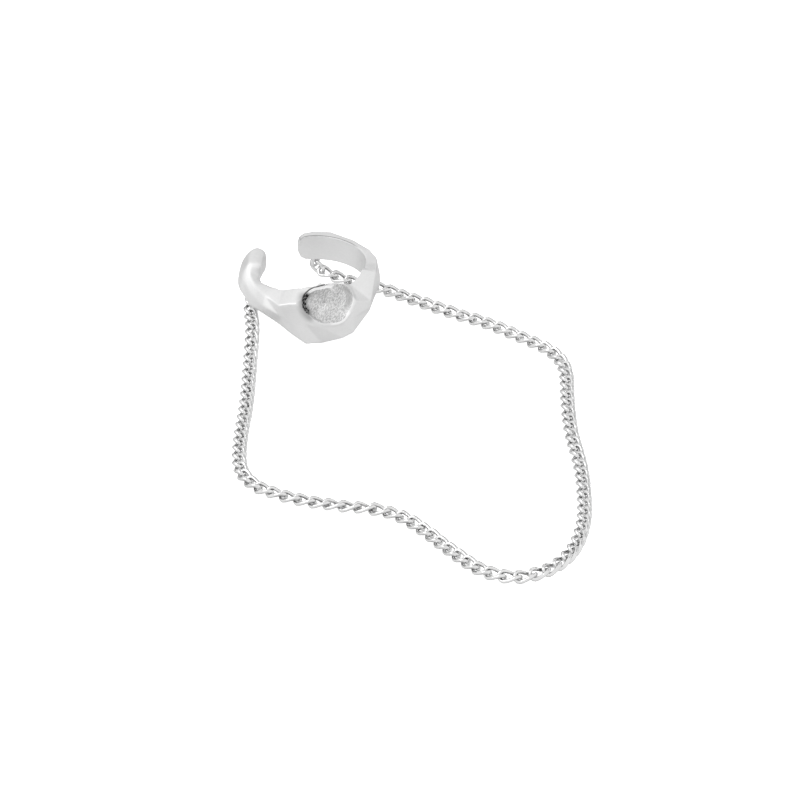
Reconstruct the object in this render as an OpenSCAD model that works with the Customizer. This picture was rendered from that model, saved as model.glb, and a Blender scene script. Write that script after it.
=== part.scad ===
// Ear cuff with a long curb chain, lying on a flat surface.
// Millimetres, +Z up. The surface is z = 0 and the axis of the cuff's bore is the Z axis.
// Angles around the bore run from +X towards +Y. The dish of the cuff faces -Y.

/* [Cuff] */
// Diameter of the bore that grips the rim of the ear
bore_d = 9.6; // [9:0.1:10.2]
// Height of the cuff at the lip of its dish
cuff_h = 5.4; // [5:0.1:6]
// Thickness of the wall at the front
wall = 2.1; // [1.9:0.05:2.4]
// Angle of the left arm's tip
left_tip = 151; // [146:1:154]
// Angle of the right arm's tip
right_tip = 107; // [98:1:110]

/* [Dish] */
// Angle around the bore at which the dish sits
dish_angle = 283; // [278:1:288]
// How much further round the dish faces
dish_turn = 4; // [0:1:8]
// Angle above the horizontal that the dish faces
dish_tilt = 34; // [30:1:38]
// Width of the dish
dish_w = 5.3; // [4.8:0.1:5.6]
// Height of the dish along its slope
dish_h = 3.8; // [3.2:0.1:4]
// Depth of the dish
dish_depth = 0.35; // [0.25:0.05:0.45]

/* [Eyes and jump rings] */
// Diameter of the wire of the two soldered eyes
eye_wire = 0.3; // [0.26:0.02:0.32]
// Inner diameter of the soldered eyes
eye_hole = 0.56; // [0.56:0.02:0.6]
// Diameter of the wire of the jump rings
ring_wire = 0.34; // [0.3:0.02:0.34]
// Outer diameter of the jump rings
ring_d = 1.84; // [1.76:0.02:2]

/* [Chain] */
// Length of one link from end to end
link_l = 2.2; // [2.16:0.02:2.3]
// Width of one link
link_w = 1.38; // [1.36:0.02:1.46]
// Diameter of the chain's wire
link_wire = 0.32; // [0.28:0.01:0.32]
// Twist of a link from its middle to each end
link_twist = 50; // [48:1:54]
// Free space between one link and the next along the chain
link_gap = 0.2; // [0.18:0.01:0.24]

/* [Hidden] */

bore_r = bore_d / 2;
eye_r = (eye_hole + eye_wire) / 2;
ring_r = (ring_d - ring_wire) / 2;

// Angle of the right arm's tip, counted on past a full turn
tip_end = right_tip + 360;

// The cuff's sections, in order around the bore from the left arm's tip to the right arm's tip.
// Columns: angle, then five corners as shares of the wall outward from the bore and of the height:
// top_w, top_h (upper inner), ridge_w, ridge_h (upper outer), mid_w, mid_h (outer face),
// low_w, low_h (lower outer), foot_w, foot_h (lower inner). A top_w or foot_w of 0 is on the bore.
SECTIONS = [
    [left_tip, 0.22, 0.87, 0.50, 0.90, 0.68, 0.82, 0.64, 0.62, 0.27, 0.60],
    [157,      0.04, 0.88, 0.60, 0.91, 0.90, 0.79, 0.96, 0.57, 0.11, 0.54],
    [166,      0.00, 0.91, 0.60, 0.90, 0.93, 0.75, 1.08, 0.53, 0.16, 0.49],
    [180,      0.00, 0.88, 0.54, 0.87, 0.86, 0.70, 1.05, 0.49, 0.28, 0.50],
    [184,      0.05, 0.66, 0.50, 0.80, 0.84, 0.67, 1.03, 0.47, 0.30, 0.45],
    [188,      0.20, 0.65, 0.50, 0.75, 0.81, 0.64, 0.99, 0.45, 0.29, 0.40],
    [203,      0.06, 0.67, 0.46, 0.67, 0.71, 0.54, 0.76, 0.31, 0.00, 0.31],
    [224,      0.00, 0.75, 0.60, 0.67, 0.78, 0.52, 0.72, 0.34, 0.00, 0.34],
    [242,      0.00, 0.82, 0.91, 0.67, 0.92, 0.48, 0.82, 0.27, 0.00, 0.27],
    [251,      0.00, 0.87, 0.90, 0.74, 0.89, 0.44, 0.82, 0.15, 0.00, 0.15],
    [264,      0.00, 0.93, 0.95, 0.79, 0.96, 0.40, 0.93, 0.00, 0.00, 0.00],
    [277,      0.00, 1.00, 1.06, 0.80, 1.04, 0.34, 0.87, 0.00, 0.00, 0.00],
    [294,      0.00, 0.96, 0.98, 0.76, 0.98, 0.37, 0.90, 0.05, 0.00, 0.05],
    [304,      0.00, 0.91, 0.82, 0.70, 0.91, 0.41, 0.86, 0.09, 0.00, 0.09],
    [325,      0.00, 0.88, 0.79, 0.53, 0.77, 0.43, 0.70, 0.31, 0.00, 0.31],
    [348,      0.00, 0.90, 0.51, 0.84, 0.57, 0.65, 0.55, 0.45, 0.00, 0.45],
    [360,      0.00, 0.91, 0.48, 0.89, 0.62, 0.67, 0.64, 0.48, 0.00, 0.47],
    [369,      0.00, 0.91, 0.50, 0.90, 0.61, 0.68, 0.62, 0.46, 0.00, 0.46],
    [385,      0.00, 0.92, 0.40, 0.91, 0.55, 0.69, 0.52, 0.46, 0.00, 0.46],
    [410,      0.00, 0.92, 0.35, 0.91, 0.52, 0.69, 0.50, 0.46, 0.00, 0.46],
    [435,      0.00, 0.93, 0.52, 0.92, 0.62, 0.69, 0.52, 0.46, 0.00, 0.46],
    [450,      0.00, 0.93, 0.49, 0.92, 0.57, 0.69, 0.48, 0.46, 0.00, 0.46],
    [tip_end - 7, 0.00, 0.92, 0.40, 0.91, 0.49, 0.69, 0.42, 0.47, 0.00, 0.47],
    [tip_end - 2, 0.00, 0.87, 0.34, 0.87, 0.42, 0.69, 0.37, 0.52, 0.00, 0.52],
    [tip_end, 0.00, 0.79, 0.28, 0.79, 0.34, 0.70, 0.30, 0.60, 0.00, 0.60],
];
// The blank reaches this far into the bore before the bore is cut
core = 0.8;
// The bore's cut runs this far past the cuff's ends
past = 2;
// Share of an eye's wire that is let into the arm
let_in = 0.75;

// Eyes of the right and the left arm: angle, share of the wall outward from the bore, and how far the
// eye's axis is turned from pointing at the bore
EYE_RIGHT = [89, 0.2, 50];
EYE_LEFT = [172, 0.3, -106];
// Jump rings as they hang: tilt of the ring's axis, its azimuth, the angle on the ring where the eye
// sits, and how far around the ring from there the chain sits
HANG_RIGHT = [71, 49, -1, 125];
HANG_LEFT = [94, 153, 3, 252];

// The chain's route from the right ring to the left one: x, y and how far it is lifted off the surface
ROUTE = [
    [1.3, 4.94, 0.52], [3.4, 4.2, 0.07], [6.1, 3.0, 0], [9.1, 0.9, 0], [12.5, -1.5, 0],
    [15.9, -3.6, 0], [19.1, -6.3, 0], [21.2, -8.2, 0], [22.5, -10.4, 0], [23.0, -13.2, 0],
    [23.0, -18.0, 0], [23.2, -23.5, 0], [23.9, -29.5, 0], [24.1, -35.0, 0], [23.9, -39.5, 0],
    [23.0, -43.6, 0], [21.4, -46.4, 0], [19.2, -48.0, 0], [17.0, -48.2, 0], [14.7, -46.9, 0],
    [12.2, -43.7, 0], [9.3, -39.5, 0], [6.5, -37.1, 0], [2.2, -36.2, 0], [-2.1, -34.7, 0],
    [-4.9, -32.7, 0], [-6.2, -29.8, 0], [-6.3, -24.8, 0], [-5.9, -18.5, 0], [-5.7, -11.0, 0],
    [-5.6, -5.0, 0.43], [-5.85, -1.8, 0.44],
];

// A vector turned by the tilt about Y, then by the azimuth about Z
function turned(v, tilt, azimuth) =
    let (x = v[0] * cos(tilt) + v[2] * sin(tilt), z = v[2] * cos(tilt) - v[0] * sin(tilt))
    [x * cos(azimuth) - v[1] * sin(azimuth), x * sin(azimuth) + v[1] * cos(azimuth), z];

// One corner of a section in space, from its angle, distance outward from the bore and height
function corner(angle, out, height) =
    [(bore_r + out) * cos(angle), (bore_r + out) * sin(angle), height];

// Height of the slope from the corner [w, h] to the bore's edge, carried on into the bore
function carried(edge_h, w, h) = edge_h + (edge_h - h) * core / w;

// The five corners of one section
function section(s) = [
    s[1] > 0 ? corner(s[0], s[1] * wall, s[2] * cuff_h)
             : corner(s[0], -core, cuff_h * carried(s[2], s[3] * wall, s[4])),
    corner(s[0], s[3] * wall, s[4] * cuff_h),
    corner(s[0], s[5] * wall, s[6] * cuff_h),
    corner(s[0], s[7] * wall, s[8] * cuff_h),
    s[9] > 0 ? corner(s[0], s[9] * wall, s[10] * cuff_h)
             : corner(s[0], -core, cuff_h * carried(s[10], s[7] * wall, s[8])),
];

// Height of the arm's underside at an angle and a share of the wall outward from the bore
function underside(angle, share) =
    cuff_h * lookup(angle, [for (s = SECTIONS)
        [s[0], s[10] + (s[8] - s[10]) * (share - s[9]) / (s[7] - s[9])]]);

// Triangles between rows of n corners each, closed at both ends
function skin(rows, n) = concat(
    [for (i = [0 : rows - 2], k = [0 : n - 1]) let (a = i * n + k, b = i * n + (k + 1) % n)
        each [[a, b + n, b], [a, a + n, b + n]]],
    [[for (k = [0 : n - 1]) k], [for (k = [0 : n - 1]) rows * n - 1 - k]]
);

module blank() {
    corners = [for (s = SECTIONS) each section(s)];
    polyhedron(points = corners, faces = skin(len(SECTIONS), 5), convexity = 8);
}

// The hollow of the dish: a ring so wide and so thick that its outer side leaves the dish's form
module dish() {
    across = pow(dish_w / 2, 2) / (2 * dish_depth) + dish_depth / 2;
    along = pow(dish_h / 2, 2) / (2 * dish_depth) + dish_depth / 2;
    out = bore_r + sin(dish_tilt) * dish_h / 2;
    up = cuff_h - cos(dish_tilt) * dish_h / 2;
    rotate([0, 0, dish_angle])
        translate([out, 0, up])
            rotate([0, -dish_tilt, dish_turn])
                translate([across - dish_depth, 0, 0])
                    rotate_extrude($fn = 96)
                        intersection() {
                            translate([across - along, 0])
                                circle(r = along, $fn = 96);
                            translate([0, -along])
                                square([across, 2 * along]);
                        }
}

module wire_ring(r, wire) {
    rotate_extrude($fn = 48)
        translate([r, 0])
            circle(d = wire, $fn = 24);
}

// Centre of a soldered eye
function eye_at(eye, angle) =
    corner(angle, eye[1] * wall, underside(angle, eye[1]) - eye_hole / 2 - eye_wire * (1 - let_in));
EYE_RIGHT_AT = eye_at(EYE_RIGHT, EYE_RIGHT[0] + 360);
EYE_LEFT_AT = eye_at(EYE_LEFT, EYE_LEFT[0]);

module eye(place, angle) {
    translate(place)
        rotate([0, 90, angle])
            wire_ring(eye_r, eye_wire);
}

module cuff() {
    color("silver") {
        difference() {
            blank();
            translate([0, 0, -past])
                cylinder(r = bore_r, h = cuff_h + 2 * past, $fn = 96);
            dish();
        }
        eye(EYE_RIGHT_AT, EYE_RIGHT[0] + EYE_RIGHT[2]);
        eye(EYE_LEFT_AT, EYE_LEFT[0] + EYE_LEFT[2]);
    }
}

// A jump ring whose wire passes through the middle of an eye
module jump_ring(place, hang) {
    translate(place)
        rotate([0, hang[0], hang[1]])
            rotate([0, 0, hang[2]])
                translate([ring_r, 0, 0])
                    wire_ring(ring_r, ring_wire);
}

module ring_right() {
    color("silver")
        jump_ring(EYE_RIGHT_AT, HANG_RIGHT);
}

module ring_left() {
    color("silver")
        jump_ring(EYE_LEFT_AT, HANG_LEFT);
}

// Where the chain starts inside a jump ring
function hold(place, hang) =
    let (reach = ring_r - (ring_wire + link_gap) / 2,
         a = hang[2] + 180 + hang[3],
         from_eye = [ring_r * cos(hang[2]) + reach * cos(a), ring_r * sin(hang[2]) + reach * sin(a), 0])
    place + turned(from_eye, hang[0], hang[1]);

// The link's middle line: a run with half-round ends of five steps each
link_half = (link_l - link_wire) / 2;
link_bow = (link_w - link_wire) / 2;
LINK_LINE = [for (end = [1, -1], step = [0 : 5]) let (a = end * 90 * (step / 2.5 - 1))
    [end * (link_half - link_bow + link_bow * cos(a)), link_bow * sin(a)]];

// That line twisted about the link's length
function twisted(p) = let (a = link_twist * p[0] / link_half) [p[0], p[1] * cos(a), -p[1] * sin(a)];
LINK_TURNED = [for (p = LINK_LINE) twisted(p)];
link_steps = len(LINK_TURNED);
wire_sides = 5;

// Half the height of a link as it lies
link_rise = max([for (p = LINK_TURNED) p[2]]) + link_wire / 2;

function unit(v) = v / norm(v);
// One corner of the wire around step i of the link
function wire_corner(i, k) =
    let (before = LINK_TURNED[(i + link_steps - 1) % link_steps],
         here = LINK_TURNED[i],
         after = LINK_TURNED[(i + 1) % link_steps],
         along = unit(after - before),
         flat = unit(cross(along, [0, 0, 1])),
         lift = cross(flat, along),
         a = 360 * k / wire_sides)
    here + link_wire / 2 * (cos(a) * flat + sin(a) * lift);

module link() {
    n = wire_sides;
    corners = [for (i = [0 : link_steps - 1], k = [0 : n - 1]) wire_corner(i, k)];
    faces = [for (i = [0 : link_steps - 1], k = [0 : n - 1])
        let (j = (i + 1) % link_steps, l = (k + 1) % n)
        each [[i * n + k, i * n + l, j * n + l], [i * n + k, j * n + l, j * n + k]]];
    polyhedron(points = corners, faces = faces, convexity = 6);
}

// The chain's middle line, smoothed through the route's points
STOPS = concat([hold(EYE_RIGHT_AT, HANG_RIGHT)],
               [for (p = ROUTE) [p[0], p[1], link_rise + p[2]]],
               [hold(EYE_LEFT_AT, HANG_LEFT)]);
function smooth(a, b, c, d, t) =
    (2 * b + (c - a) * t + (2 * a - 5 * b + 4 * c - d) * t * t + (3 * b - a - 3 * c + d) * t * t * t) / 2;
steps = 10;
last_stop = len(STOPS) - 1;
LINE = [for (i = [0 : last_stop - 1], s = [0 : (i < last_stop - 1 ? steps - 1 : steps)])
    let (before = STOPS[max(i - 1, 0)],
         after = STOPS[min(i + 2, last_stop)],
         p = smooth(before, STOPS[i], STOPS[i + 1], after, s / steps))
    [p[0], p[1], max(p[2], link_rise)]];
line_end = len(LINE) - 1;

// How far along the chain each point of that line is
TRAVEL = [for (i = 0, way = 0; i <= line_end;
               way = way + norm(LINE[min(i + 1, line_end)] - LINE[i]), i = i + 1)
    way];
chain_l = TRAVEL[line_end];
ALONG = [for (axis = [0 : 2]) [for (i = [0 : line_end]) [TRAVEL[i], LINE[i][axis]]]];
function on_route(way) = [for (axis = [0 : 2]) lookup(way, ALONG[axis])];
pitch_max = link_l - 2 * link_wire - link_gap;
links = ceil(chain_l / pitch_max);
pitch = chain_l / links;

module chain() {
    color("silver")
        for (i = [0 : links - 1]) {
            from = on_route(i * pitch);
            to = on_route((i + 1) * pitch);
            run = to - from;
            translate((from + to) / 2)
                rotate([0, -asin(run[2] / norm(run)), atan2(run[1], run[0])])
                    link();
        }
}

cuff();
ring_right();
ring_left();
chain();
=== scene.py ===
import math
import random

import bmesh
import bpy
from mathutils import Matrix, Vector


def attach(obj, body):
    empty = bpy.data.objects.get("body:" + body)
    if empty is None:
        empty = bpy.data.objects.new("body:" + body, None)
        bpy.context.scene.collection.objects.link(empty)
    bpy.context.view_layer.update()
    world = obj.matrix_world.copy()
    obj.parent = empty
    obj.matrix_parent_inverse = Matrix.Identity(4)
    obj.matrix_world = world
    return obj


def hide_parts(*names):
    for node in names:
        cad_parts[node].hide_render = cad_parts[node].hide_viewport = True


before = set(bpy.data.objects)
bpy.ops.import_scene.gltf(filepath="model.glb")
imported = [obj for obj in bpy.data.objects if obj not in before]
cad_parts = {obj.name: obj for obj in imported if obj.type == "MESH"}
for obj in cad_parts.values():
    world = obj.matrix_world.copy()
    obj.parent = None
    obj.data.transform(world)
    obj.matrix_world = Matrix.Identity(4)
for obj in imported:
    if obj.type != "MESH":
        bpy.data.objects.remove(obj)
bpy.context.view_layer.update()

MM = 0.001
# Corners nearer to each other than this are one corner
SAME_PLACE = 0.0005 * MM

# The dish at the front of the cuff, as the cuff's own sizes place it
BORE_R = 4.8 * MM
CUFF_H = 5.4 * MM
DISH_ANGLE = math.radians(283)
DISH_FACES = math.radians(287)
DISH_TILT = math.radians(34)
DISH_HALF_H = 1.9 * MM
DISH_AT = Matrix.Rotation(DISH_ANGLE, 3, "Z") @ Vector(
    (BORE_R + math.sin(DISH_TILT) * DISH_HALF_H, 0, CUFF_H - math.cos(DISH_TILT) * DISH_HALF_H)
)
DISH_TURN = Matrix.Rotation(DISH_FACES, 3, "Z") @ Matrix.Rotation(-DISH_TILT, 3, "Y")
DISH_OUT, DISH_ACROSS, DISH_UP = DISH_TURN.col
# The dish's outline: its radius in millimetres at every step from across towards up
DISH_STEP = math.radians(30)
DISH_RADII = (2.42, 2.45, 1.78, 1.56, 1.72, 2.15, 2.38, 2.08, 2.02, 1.93, 2.12, 2.14)
# How much deeper than in the solid the dish's wall is at its left, and over what way it falls
WALL_DEPTH = 0.22 * MM
WALL_RUN = 0.35 * MM
# The lip round the dish, and the distances outside the outline over which it rises and falls
LIP_H = 0.05 * MM
LIP_RISE = (-0.12 * MM, 0.04 * MM)
LIP_FALL = (0.4 * MM, 0.1 * MM)
# The cuff is pressed this far round the dish's middle, and less and less behind it
PRESS_REACH = 3.4 * MM
PRESS_BEHIND = (-1.1 * MM, -0.8 * MM)

# The cuff's mesh: how fine it is, and how often its edges are rubbed
CUFF_VOXEL = 0.063 * MM
CUFF_RUBS = 8
# The left arm is rubbed more often and made fuller, between two angles round the bore, and less and
# less over the last part of the way to the second
SMOOTH_ARM = (math.radians(148), math.radians(236))
ARM_FADE = 0.4
ARM_RUBS = 60
ARM_FULLER = 0.12 * MM
# The left arm's soldered eye: nothing is rubbed up to the first distance from it, all beyond the
# second
EYE_LEFT = Vector((-5.38, 0.76, 2.3)) * MM
EYE_CLEAR = 0.8 * MM
EYE_FADE = 1.3 * MM

# The chain's links: wire, length, width at the ends, how far the sides bow out, and twist
LINK_WIRE = 0.39 * MM
LINK_L = 2.26 * MM
LINK_W = 1.22 * MM
LINK_BULGE = 0.1 * MM
LINK_TWIST = math.radians(50)
# A link's mesh: the wire's sides, the steps round the ring, and the cuts along each straight side
WIRE_SIDES = 10
RING_STEPS = 16
SIDE_CUTS = 5
# How far the chain is rolled about its length, in degrees, at shares of its length from the
# right ring, and how far each link strays from that
ROLLS = (
    (0, 0), (0.1, 4), (0.2, 0), (0.3, -6), (0.46, -4), (0.55, -10),
    (0.63, -8), (0.67, 8), (0.72, 6), (0.77, -4), (1, 0),
)
ROLL_STRAY = 4
ROLL_SEED = 5
# How many rounds it takes to find the way that a link lies from its corners
AXIS_ROUNDS = 12

# The wire's silver: its grey and how much that varies, how dark the painted shade inside and under the rings
# is, its roughness and what the same noise adds to that, and the depth of its marks
WIRE_GREY = 0.78
WIRE_SWING = 0.14
PAINTED_SHADE_DARK = 0.78
WIRE_ROUGH = 0.04
WIRE_ROUGHER = 0.08
WIRE_MARKS = 0.05 * MM
# The cuff's silver: its greys outside and inside the dish, and how much each noise varies them
SMOOTH_GREY = 0.8
GRAINED_GREY = 0.63
CLOUD_SWING = 0.12
STREAK_SWING = 0.08
GRAIN_SWING = 0.3
RUB_SWING = 0.3
# How dark the painted shade on and round the dish is. The wall's painted shade is darker where the grain is
# high
WALL_SHADE = 0.05
WALL_GRAIN_SHADE = 1.45
SLOPE_SHADE = 0.25
SHADE_DARK = 0.5
PATCH_SHADE = 0.22
LIP_SHADE = 0.93
# How bright the painted highlights on and round the dish are
CRESCENT_HIGHLIGHT = 0.9
BAND_HIGHLIGHT = 0.22
# The cuff's roughness, and what the dish, the crescent and the left arm change in it
CUFF_ROUGH = 0.42
DISH_ROUGHER = 0.1
CRESCENT_SMOOTHER = 0.2
ARM_ROUGHER = 0.16
# The depth of the dish's grain, and the streaks' share of that
CUFF_MARKS = 0.02 * MM
STREAK_SHARE = 0.06

# Where the cuff is marked, in millimetres. Each pair is a fade from 0 to 1. Nothing far behind the dish has
# the dish's grain, painted shade or painted highlights
MARKED_OUT = (-1.2, -0.9)
# A painted shade or highlight round the dish is at full strength over this share of its sector
SECTOR_FULL = 0.55
# The radius that is white on the ramp that holds the dish's outline
RAMP_REACH = 3
# The width of the dish's grains, and how close together they lie along the strokes of the brush
GRAIN_SIZE = 0.15
GRAIN_STROKE = 0.45
# A painted shade line by the bore, where its wall meets the top face: where it begins and ends outwards from
# the bore's axis, how it comes in towards the back and the top, and how dark it is
LINE_NEAR = (4.8, 4.85)
LINE_FAR = (4.96, 4.91)
LINE_BACK = (2.4, 3.6)
LINE_TOP = (4.5, 4.7)
LINE_SHADE = 0.55
# The left arm grows duller along X
ARM_DULL = (-3.4, -4.8)

# The camera: its height over the surface, its distance, its lens and sensor, and where it looks
CAMERA_HEIGHT = math.radians(30)
CAMERA_AWAY = 0.6
CAMERA_LENS = 299.4
CAMERA_SENSOR = 36
CAMERA_AIM = Vector((7.94, -16.94, 0)) * MM
# Directions in the studio: where the lens looks in, and a grey panel overhead
LENS_SIDE = (0, -math.cos(CAMERA_HEIGHT), math.sin(CAMERA_HEIGHT))
OVERHEAD = (0.2, 0.41, 0.89)
# How much darker than white the studio is: at its open far foot, at the panel, where the lens
# looks in, on the table top, added to that towards the back, and straight below
FOOT_DARK = 0.6
PANEL_DARK = 0.55
LENS_DARK = 0.1
TABLE_DARK = 0.06
BACK_DARK = 0.12
BELOW_DARK = 0.25
# Where the soft light aims
LIGHT_AIM = Vector((0.005, -0.015, 0))
# The paper that the part lies on: its reach, its gap under the part, its grey and its glow
PAPER_REACH = 2
PAPER_GAP = 0.01 * MM
PAPER_GREY = 0.97
PAPER_GLOW = 0.7


class Value:
    """A shader socket that can be used in sums."""

    def __init__(self, nodes, socket):
        self.nodes, self.socket = nodes, socket

    def maths(self, operation, *terms):
        """One step of shader maths on the terms."""
        return self.nodes.node("ShaderNodeMath", {"operation": operation}, dict(enumerate(terms)))

    def __add__(self, other):
        return self.maths("ADD", self, other)

    __radd__ = __add__

    def __mul__(self, other):
        return self.maths("MULTIPLY", self, other)

    __rmul__ = __mul__

    def __sub__(self, other):
        return self.maths("SUBTRACT", self, other)

    def __rsub__(self, other):
        return self.maths("SUBTRACT", other, self)

    def __truediv__(self, other):
        return self.maths("DIVIDE", self, other)

    def __pow__(self, other):
        return self.maths("POWER", self, other)

    def angle(self, across):
        """The angle of a direction that lies this far up and that far across."""
        return self.maths("ARCTAN2", self, across)

    def clamped(self):
        """Kept between 0 and 1."""
        return self.maths("MAXIMUM", self.maths("MINIMUM", self, 1.0), 0.0)

    def swing(self, width):
        """Noise about 0.5 made into a swing about 0, this wide in all."""
        return (self - 0.5) * width


class Nodes:
    """A tree of shader nodes that are added one call at a time."""

    def __init__(self, block):
        block.use_nodes = True
        self.block, self.tree = block, block.node_tree
        self.tree.nodes.clear()

    def node(self, kind, settings, sockets, output=0):
        """A new node as the value of one of its outputs. The setting stops makes a ramp of greys."""
        made = self.tree.nodes.new(kind)
        for name, setting in settings.items():
            if name == "stops":
                ramp = made.color_ramp
                ramp.interpolation = "CARDINAL"
                while len(ramp.elements) < len(setting):
                    ramp.elements.new(1.0)
                for element, (at, grey) in zip(ramp.elements, setting):
                    element.position, element.color = at, (grey, grey, grey, 1)
            else:
                setattr(made, name, setting)
        for name, value in sockets.items():
            if isinstance(value, Value):
                self.tree.links.new(value.socket, made.inputs[name])
            else:
                made.inputs[name].default_value = value
        return Value(self, made.outputs[output]) if made.outputs else None

    def step(self, low, high, value):
        """A soft step from 0 at low to 1 at high."""
        settings = {"interpolation_type": "SMOOTHSTEP"}
        return self.node("ShaderNodeMapRange", settings, {"Value": value, "From Min": low, "From Max": high})

    def parts(self, vector, axes="XYZ"):
        """A vector's parts along the named axes."""
        return [self.node("ShaderNodeSeparateXYZ", {}, {"Vector": vector}, axis) for axis in axes]

    def dot(self, vector, axis):
        """How far a vector reaches along an axis."""
        return self.node("ShaderNodeVectorMath", {"operation": "DOT_PRODUCT"}, {0: vector, 1: axis}, "Value")

    def grains(self, vector, size, detail=2.0):
        """Soft noise about 0.5 over a vector, whose grains are size across."""
        sockets = {"Vector": vector, "Scale": 1 / size, "Detail": detail}
        return self.node("ShaderNodeTexNoise", {}, sockets, "Fac")


class Finish(Nodes):
    """A metal, in the piece's own coordinates."""

    def __init__(self, name):
        super().__init__(bpy.data.materials.new(name))
        self.place = self.node("ShaderNodeTexCoord", {}, {}, "Object")

    def noise(self, size, detail=2.0, stretch=(1, 1, 1), turn=(0, 0, 0)):
        """Soft noise over the piece, which may be turned and squeezed."""
        sockets = {"Vector": self.place, "Rotation": turn, "Scale": stretch}
        return self.grains(self.node("ShaderNodeMapping", {}, sockets), size, detail)

    def along(self, origin, axis):
        """How far a place lies from origin along an axis."""
        away = self.node("ShaderNodeVectorMath", {"operation": "SUBTRACT"}, {0: self.place, 1: origin})
        return self.dot(away, axis)

    def attribute(self, name):
        """A number that the mesh's corners carry, or 0 where they have none of that name."""
        return self.node("ShaderNodeAttribute", {"attribute_name": name}, {}, "Fac")

    def grey(self, value):
        """A colour without a hue."""
        return self.node("ShaderNodeCombineColor", {}, {"Red": value, "Green": value, "Blue": value})

    def bump(self, height, depth):
        """Small marks, where a height of 1 stands depth proud."""
        return self.node("ShaderNodeBump", {}, {"Height": height, "Distance": depth, "Strength": 1.0})

    def metal(self, colour, roughness, normal):
        """The finished material."""
        shader = self.node(
            "ShaderNodeBsdfPrincipled",
            {},
            {"Base Color": colour, "Roughness": roughness, "Normal": normal, "Metallic": 1.0},
        )
        self.node("ShaderNodeOutputMaterial", {}, {"Surface": shader})
        return self.block


def wire_silver():
    """Bright wire with a few drawn marks, and painted shade where the mesh carries it."""
    f = Finish("wire_silver")
    cloud = f.noise(1.2 * MM)
    marks = f.noise(0.45 * MM, 1.0)
    # Painted shade inside and under the rings, broken up by noise
    tarnish = f.attribute("tarnish") * f.step(0.3, 0.6, f.noise(0.6 * MM, 1.0))
    return f.metal(
        f.grey((WIRE_GREY + cloud.swing(WIRE_SWING)) * (1 - tarnish * PAINTED_SHADE_DARK)),
        (WIRE_ROUGH + cloud * WIRE_ROUGHER).clamped(),
        f.bump(marks, WIRE_MARKS),
    )


class DishMarks:
    """Painted shade and highlights on and round the dish, each in a sector and a band along the outline, and
    the dish's grain.
    """

    def __init__(self, finish):
        self.finish = finish
        self.across, self.up, out = (
            finish.along(DISH_AT, axis) * (1 / MM) for axis in (DISH_ACROSS, DISH_UP, DISH_OUT)
        )
        self.far = (self.across * self.across + self.up * self.up) ** 0.5
        turn = self.up.angle(self.across) * (0.5 / math.pi) + 0.5
        count = len(DISH_RADII)
        stops = [
            (i / count, DISH_RADII[(i + count // 2) % count] / RAMP_REACH) for i in range(count + 1)
        ]
        radius = finish.node("ShaderNodeValToRGB", {"stops": stops}, {"Fac": turn}, "Color") * RAMP_REACH
        self.outside = self.far - radius
        self.front = finish.step(*MARKED_OUT, out)

    def mark(self, middle, half, near, far, near_soft=0.05, far_soft=0.05):
        """1 from near to far outside the outline, within half of the middle direction."""
        m = math.radians(middle)
        toward = (self.across * math.cos(m) + self.up * math.sin(m)) / self.far
        edge, full = math.cos(math.radians(half)), math.cos(math.radians(half * SECTOR_FULL))
        band = self.finish.step(near - near_soft, near + near_soft, self.outside)
        rest = self.finish.step(far + far_soft, far - far_soft, self.outside)
        return self.finish.step(edge, full, toward) * band * rest * self.front

    def brushed(self):
        """Noise drawn out along the way the dish was brushed."""
        stroke = (self.across + self.up) * GRAIN_STROKE
        beside = self.across - self.up
        placed = self.finish.node("ShaderNodeCombineXYZ", {}, {"X": stroke, "Y": beside})
        return self.finish.grains(placed, GRAIN_SIZE)

    def inside(self, soft=0.04):
        """1 inside the outline."""
        return self.finish.step(soft, -soft, self.outside) * self.front


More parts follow.
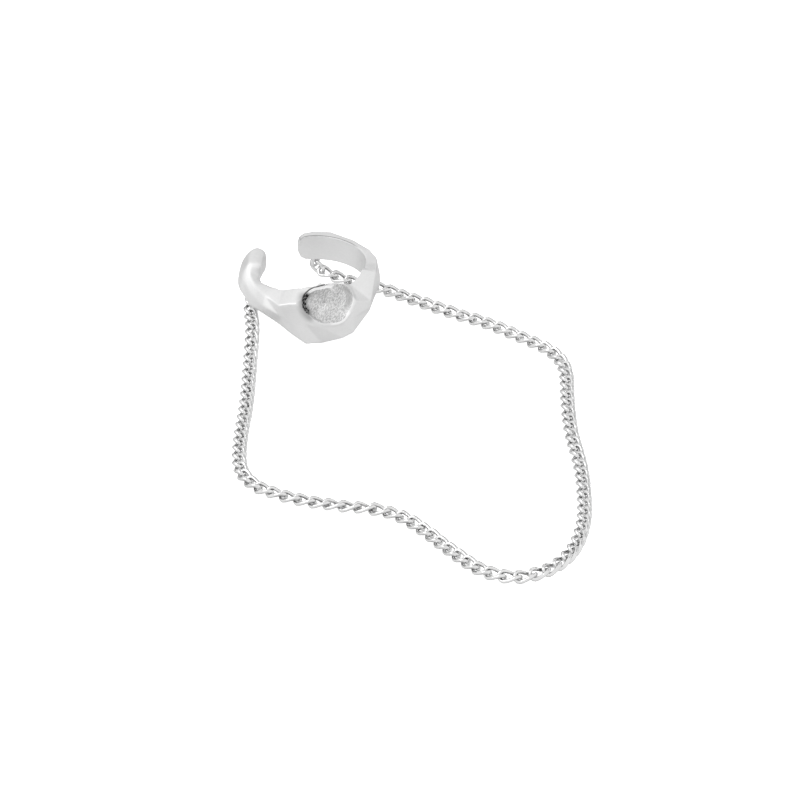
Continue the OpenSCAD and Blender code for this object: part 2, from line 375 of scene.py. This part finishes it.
def cuff_silver():
    """Cast silver, softly polished, with a grained dish, painted shade and highlights round the dish, and a
    painted shade line along the bore's top edge.
    """
    f = Finish("cuff_silver")
    cloud = f.noise(2.5 * MM, 3.0)
    streaks = f.noise(0.3 * MM, 3.0, stretch=(1, 1, 4), turn=(0.2, 0.3, 0))
    rub = f.noise(0.9 * MM)
    marks = DishMarks(f)
    grain = f.step(0.34, 0.66, marks.brushed())
    dish = marks.inside()
    # Painted shade: on the wall at the left, on the slope before it, beyond it, in a patch at the right, and
    # in a thin line on the lip over the dish. Painted highlights: a crescent inside the upper edge, and a
    # band below the dish
    wall = marks.mark(middle=174, half=34, near=-0.42, far=0.03, near_soft=0.3)
    slope = marks.mark(middle=142, half=90, near=-0.8, far=0.0, near_soft=0.8)
    shade = marks.mark(middle=184, half=44, near=0.02, far=0.35, far_soft=0.35)
    patch = marks.mark(middle=4, half=40, near=-0.6, far=-0.08, near_soft=0.12, far_soft=0.12)
    lip = marks.mark(middle=126, half=52, near=0.0, far=0.12)
    crescent = marks.mark(middle=104, half=50, near=-0.25, far=-0.02)
    band = marks.mark(middle=300, half=34, near=0.0, far=0.2)
    smooth = SMOOTH_GREY + cloud.swing(CLOUD_SWING) + streaks.swing(STREAK_SWING)
    grained = GRAINED_GREY + grain.swing(GRAIN_SWING) + rub.swing(RUB_SWING)
    # How much painted shade darkens the grey, and how much painted highlight brightens it
    dark = wall * (WALL_SHADE + grain * WALL_GRAIN_SHADE) + slope * SLOPE_SHADE + shade * SHADE_DARK
    dark = (dark + patch * PATCH_SHADE * (0.5 + grain)).clamped()
    bright = crescent * CRESCENT_HIGHLIGHT + band * BAND_HIGHLIGHT
    grey = smooth * (1 - dish) + grained * dish
    grey = grey * (1 - dark) * (1 - lip * LIP_SHADE) + bright
    x, y, z = (part * (1 / MM) for part in f.parts(f.place))
    bore = (x * x + y * y) ** 0.5
    # A thin painted shade line along the bore's top edge
    rim_shade = f.step(*LINE_NEAR, bore) * f.step(*LINE_FAR, bore) * f.step(*LINE_BACK, y) * f.step(*LINE_TOP, z)
    grey = grey * (1 - rim_shade * LINE_SHADE)
    arm = f.step(*ARM_DULL, x) * ARM_ROUGHER
    rough = CUFF_ROUGH + cloud.swing(CLOUD_SWING) + dish * DISH_ROUGHER - crescent * CRESCENT_SMOOTHER + arm
    height = grain * dish + streaks * STREAK_SHARE
    return f.metal(f.grey(grey.clamped()), rough.clamped(), f.bump(height, CUFF_MARKS))


def merged_copy(node):
    """A bmesh of a node of the frame, with its loose triangles joined."""
    bm = bmesh.new()
    bm.from_mesh(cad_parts[node].data)
    bmesh.ops.remove_doubles(bm, verts=bm.verts, dist=SAME_PLACE)
    return bm


def mesh_of(bm, name):
    """A bmesh as a mesh. The bmesh is used up."""
    mesh = bpy.data.meshes.new(name)
    bm.to_mesh(mesh)
    bm.free()
    return mesh


def shown(name, data):
    """A new object in the scene."""
    made = bpy.data.objects.new(name, data)
    bpy.context.scene.collection.objects.link(made)
    return made


def finished(name, bm, material, slot, *nodes):
    """A bmesh as a smooth piece that stands for nodes of the frame."""
    piece = shown(name, mesh_of(bm, name))
    piece.data.materials.append(material)
    piece.data.shade_smooth()
    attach(piece, "root")
    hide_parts(*nodes)
    return piece


def applied(piece):
    """The piece's mesh with its modifiers applied."""
    final = piece.evaluated_get(bpy.context.evaluated_depsgraph_get())
    mesh = bpy.data.meshes.new_from_object(final)
    piece.modifiers.clear()
    piece.data = mesh
    return mesh


def dish_place(point):
    """Where a point lies in the dish: across, up and outward from its middle."""
    away = point - DISH_AT
    return away.dot(DISH_ACROSS), away.dot(DISH_UP), away.dot(DISH_OUT)


def dish_radius(angle):
    """The dish's outline at an angle from across towards up, smoothed through its radii."""
    at = angle / DISH_STEP
    i, t = math.floor(at), at - math.floor(at)
    a, b, c, d = (DISH_RADII[(i + k) % len(DISH_RADII)] for k in (-1, 0, 1, 2))
    curve = 2 * b + (c - a) * t + (2 * a - 5 * b + 4 * c - d) * t * t + (3 * b - a - 3 * c + d) * t ** 3
    return curve / 2 * MM


def step(low, high, x):
    """A soft step from 0 at low to 1 at high."""
    t = min(max((x - low) / (high - low), 0), 1)
    return t * t * (3 - 2 * t)


def smooth_arm(mesh):
    """Rubs the left arm's edges down, apart from its soldered eye."""
    bm = bmesh.new()
    bm.from_mesh(mesh)
    low, high = SMOOTH_ARM
    arm = [
        v for v in bm.verts
        if low < math.atan2(v.co.y, v.co.x) % (2 * math.pi) < high and (v.co - EYE_LEFT).length > EYE_CLEAR
    ]
    before = [v.co.copy() for v in arm]
    for _ in range(ARM_RUBS):
        bmesh.ops.smooth_vert(bm, verts=arm, factor=0.5, use_axis_x=True, use_axis_y=True, use_axis_z=True)
    bm.normal_update()
    for v, start in zip(arm, before):
        turn = math.atan2(start.y, start.x) % (2 * math.pi)
        share = step(high, high - ARM_FADE, turn) * step(EYE_CLEAR, EYE_FADE, (start - EYE_LEFT).length)
        v.co = start.lerp(v.co + v.normal * ARM_FULLER, share)
    bm.to_mesh(mesh)
    bm.free()


def press_dish(mesh):
    """Sinks the dish's wall, which is steepest at the left, and raises a soft lip round it."""
    for v in mesh.vertices:
        across, up, out = dish_place(v.co)
        if out < PRESS_BEHIND[0] or math.hypot(across, up) > PRESS_REACH:
            continue
        angle = math.atan2(up, across)
        outside = math.hypot(across, up) - dish_radius(angle)
        left = step(0.4, 1.0, -math.cos(angle))
        sunk = step(0.0, -WALL_RUN, outside) * WALL_DEPTH * (0.25 + 0.75 * left)
        lip = step(*LIP_RISE, outside) * step(*LIP_FALL, outside) * LIP_H
        v.co += DISH_OUT * ((lip - sunk) * step(*PRESS_BEHIND, out))


def make_cuff():
    """The cuff's solid with its edges worn soft and its dish pressed in."""
    piece = finished("ear_cuff", merged_copy("cuff"), cuff_silver(), "cuff_silver", "cuff")
    remesh = piece.modifiers.new("fine", "REMESH")
    remesh.mode, remesh.voxel_size, remesh.use_smooth_shade = "VOXEL", CUFF_VOXEL, True
    worn = piece.modifiers.new("worn", "SMOOTH")
    worn.factor, worn.iterations = 0.5, CUFF_RUBS
    mesh = applied(piece)
    smooth_arm(mesh)
    press_dish(mesh)


def make_link():
    """One link of the chain, lying along X: a round wire ring, drawn out and twisted."""
    bm = bmesh.new()
    bow, run = (LINK_W - LINK_WIRE) / 2, (LINK_L - LINK_W) / 2
    upright = Matrix.Rotation(math.radians(90), 4, "X")
    seam = Matrix.Rotation(math.radians(90 + 180 / RING_STEPS), 4, "Z")
    start = seam @ Matrix.Translation((bow, 0, 0)) @ upright
    bmesh.ops.create_circle(bm, segments=WIRE_SIDES, radius=LINK_WIRE / 2, matrix=start)
    bmesh.ops.spin(
        bm, geom=bm.verts[:] + bm.edges[:], cent=(0, 0, 0), axis=(0, 0, 1),
        angle=2 * math.pi, steps=RING_STEPS, use_merge=True,
    )
    bmesh.ops.remove_doubles(bm, verts=bm.verts, dist=SAME_PLACE)
    # Painted shade lies within the ring, where the links interlock, and under it, and there is less of it at
    # the ring's ends
    tarnish = bm.verts.layers.float.new("tarnish")
    for v in bm.verts:
        inward = (bow - math.hypot(v.co.x, v.co.y)) / (LINK_WIRE / 2)
        high = v.co.z / LINK_WIRE
        side = step(0.9, 0.5, abs(v.co.x) / bow)
        within = step(0.1, 0.7, inward * 0.75 - high * 1.2) * (0.25 + 0.75 * side)
        v[tarnish] = max(within, 0.6 * step(-0.2, -0.45, high))
        v.co.x += math.copysign(run, v.co.x)
    sides = [e for e in bm.edges if abs(e.verts[0].co.x - e.verts[1].co.x) > run]
    bmesh.ops.subdivide_edges(bm, edges=sides, cuts=SIDE_CUTS, use_grid_fill=True)
    half = (LINK_L - LINK_WIRE) / 2
    for v in bm.verts:
        v.co.y += math.copysign(LINK_BULGE * max(1 - (v.co.x / half) ** 2, 0), v.co.y)
        v.co.rotate(Matrix.Rotation(-LINK_TWIST * v.co.x / half, 3, "X"))
    bmesh.ops.recalc_face_normals(bm, faces=bm.faces)
    return bm


def islands(bm):
    """The loose solids of a bmesh, each as its corners' places."""
    left, found = set(bm.verts), []
    while left:
        reached, stack = [], [left.pop()]
        while stack:
            v = stack.pop()
            reached.append(v.co.copy())
            for e in v.link_edges:
                other = e.other_vert(v)
                if other in left:
                    left.remove(other)
                    stack.append(other)
        found.append(reached)
    return found


def in_order(loose):
    """Each link's middle and corners, one link after the other from the right ring to the left."""
    left = [(sum(corners, Vector()) / len(corners), corners) for corners in loose]
    left.sort(key=lambda one: tuple(one[0]))
    walk = [max(left, key=lambda one: one[0].y)]
    while len(walk) < len(loose):
        left.remove(walk[-1])
        walk.append(min(left, key=lambda one: (one[0] - walk[-1][0]).length))
    return walk


def rolled_at(share):
    """The chain's roll at a share of its length."""
    for (a, low), (b, high) in zip(ROLLS, ROLLS[1:]):
        if share <= b:
            return math.radians(low + (high - low) * (share - a) / (b - a))


def link_frame(middle, corners, travel):
    """A link's place and turn: X along its length the way the chain runs, Y level."""
    far = max(corners, key=lambda p: (p - middle).dot(travel))
    along = (far - middle).normalized()
    for _ in range(AXIS_ROUNDS):
        along = sum(((p - middle) * (p - middle).dot(along) for p in corners), Vector()).normalized()
    level = Vector((0, 0, 1)).cross(along).normalized()
    turn = Matrix((along, level, along.cross(level))).transposed()
    return Matrix.Translation(middle) @ turn.to_4x4()


def make_chain():
    """The chain's links, one where each loose solid of the frame's chain lies."""
    solids = merged_copy("chain")
    links = in_order(islands(solids))
    solids.free()
    link = mesh_of(make_link(), "link")
    bm = bmesh.new()
    roll = random.Random(ROLL_SEED)
    for i, (middle, corners) in enumerate(links):
        travel = links[min(i + 1, len(links) - 1)][0] - links[max(i - 1, 0)][0]
        turn = rolled_at(i / (len(links) - 1)) + math.radians(roll.uniform(-ROLL_STRAY, ROLL_STRAY))
        first = len(bm.verts)
        bm.from_mesh(link)
        rolled = link_frame(middle, corners, travel) @ Matrix.Rotation(turn, 4, "X")
        bmesh.ops.transform(bm, matrix=rolled, verts=bm.verts[first:])
        # No link reaches below the surface that the part lies on
        lift = max(-min(v.co.z for v in bm.verts[first:]), 0)
        bmesh.ops.translate(bm, verts=bm.verts[first:], vec=(0, 0, lift))
    finished("curb_chain", bm, wire_silver(), "chain_silver", "chain")


def finish_rings():
    """Gives the two jump rings' solids the wire's finish."""
    wire = wire_silver()
    for ring in ("ring_right", "ring_left"):
        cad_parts[ring].data.materials.clear()
        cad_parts[ring].data.materials.append(wire)


def make_floor():
    """White paper under the part, which the silver doesn't mirror."""
    bm = bmesh.new()
    bmesh.ops.create_grid(bm, x_segments=1, y_segments=1, size=PAPER_REACH)
    bmesh.ops.translate(bm, verts=bm.verts, vec=(0, 0, -PAPER_GAP))
    floor = shown("floor", mesh_of(bm, "floor"))
    paper = bpy.data.materials.new("paper")
    paper.use_nodes = True
    shader = paper.node_tree.nodes["Principled BSDF"]
    shader.inputs["Base Color"].default_value = (PAPER_GREY, PAPER_GREY, PAPER_GREY, 1)
    shader.inputs["Roughness"].default_value = 1.0
    shader.inputs["Specular IOR Level"].default_value = 0.0
    shader.inputs["Emission Color"].default_value = (1, 1, 1, 1)
    shader.inputs["Emission Strength"].default_value = PAPER_GLOW
    floor.data.materials.append(paper)
    floor.visible_glossy = False


def soft_light(name, place, size, power):
    """A square soft light that faces the part."""
    lamp = bpy.data.lights.new(name, "AREA")
    lamp.shape, lamp.size, lamp.energy = "SQUARE", size, power
    light = shown(name, lamp)
    light.location = place
    light.rotation_euler = (LIGHT_AIM - light.location).to_track_quat("-Z", "Y").to_euler()


def make_studio():
    """A white tent over a grey table top, with a grey panel overhead and two darker openings."""
    studio = Nodes(bpy.data.worlds.new("studio"))
    bpy.context.scene.world = studio.block
    where = studio.node("ShaderNodeTexCoord", {}, {}, "Generated")
    y, z = studio.parts(where, "YZ")
    foot = studio.step(0.3, 0.6, y) * studio.step(0.34, 0.2, z) * studio.step(-0.16, -0.04, z)
    panel = studio.step(0.93, 0.98, studio.dot(where, OVERHEAD))
    lens = studio.step(0.94, 0.985, studio.dot(where, LENS_SIDE))
    table = studio.step(0.05, -0.05, z) * (TABLE_DARK + studio.step(-0.2, 0.7, y) * BACK_DARK)
    below = studio.step(-0.55, -0.85, z)
    light = 1.0 - foot * FOOT_DARK - panel * PANEL_DARK - lens * LENS_DARK - table - below * BELOW_DARK
    sky = studio.node("ShaderNodeBackground", {}, {"Color": (1, 1, 1, 1), "Strength": light.clamped()})
    studio.node("ShaderNodeOutputWorld", {}, {"Surface": sky})
    soft_light("key", place=(-0.5, -0.2, 0.6), size=0.6, power=1.6)
    bpy.context.scene.view_settings.view_transform = "Standard"


def make_camera():
    """The photo's view: a long lens, well above the surface."""
    look = Vector((0, math.cos(CAMERA_HEIGHT), -math.sin(CAMERA_HEIGHT)))
    camera = bpy.data.cameras.new("camera")
    camera.lens, camera.sensor_width = CAMERA_LENS, CAMERA_SENSOR
    camera.clip_start, camera.clip_end = 0.01, 10
    eye = shown("camera", camera)
    eye.location = CAMERA_AIM - look * CAMERA_AWAY
    eye.rotation_euler = look.to_track_quat("-Z", "Y").to_euler()
    bpy.context.scene.camera = eye


make_camera()
make_studio()
make_floor()
make_cuff()
make_chain()
finish_rings()
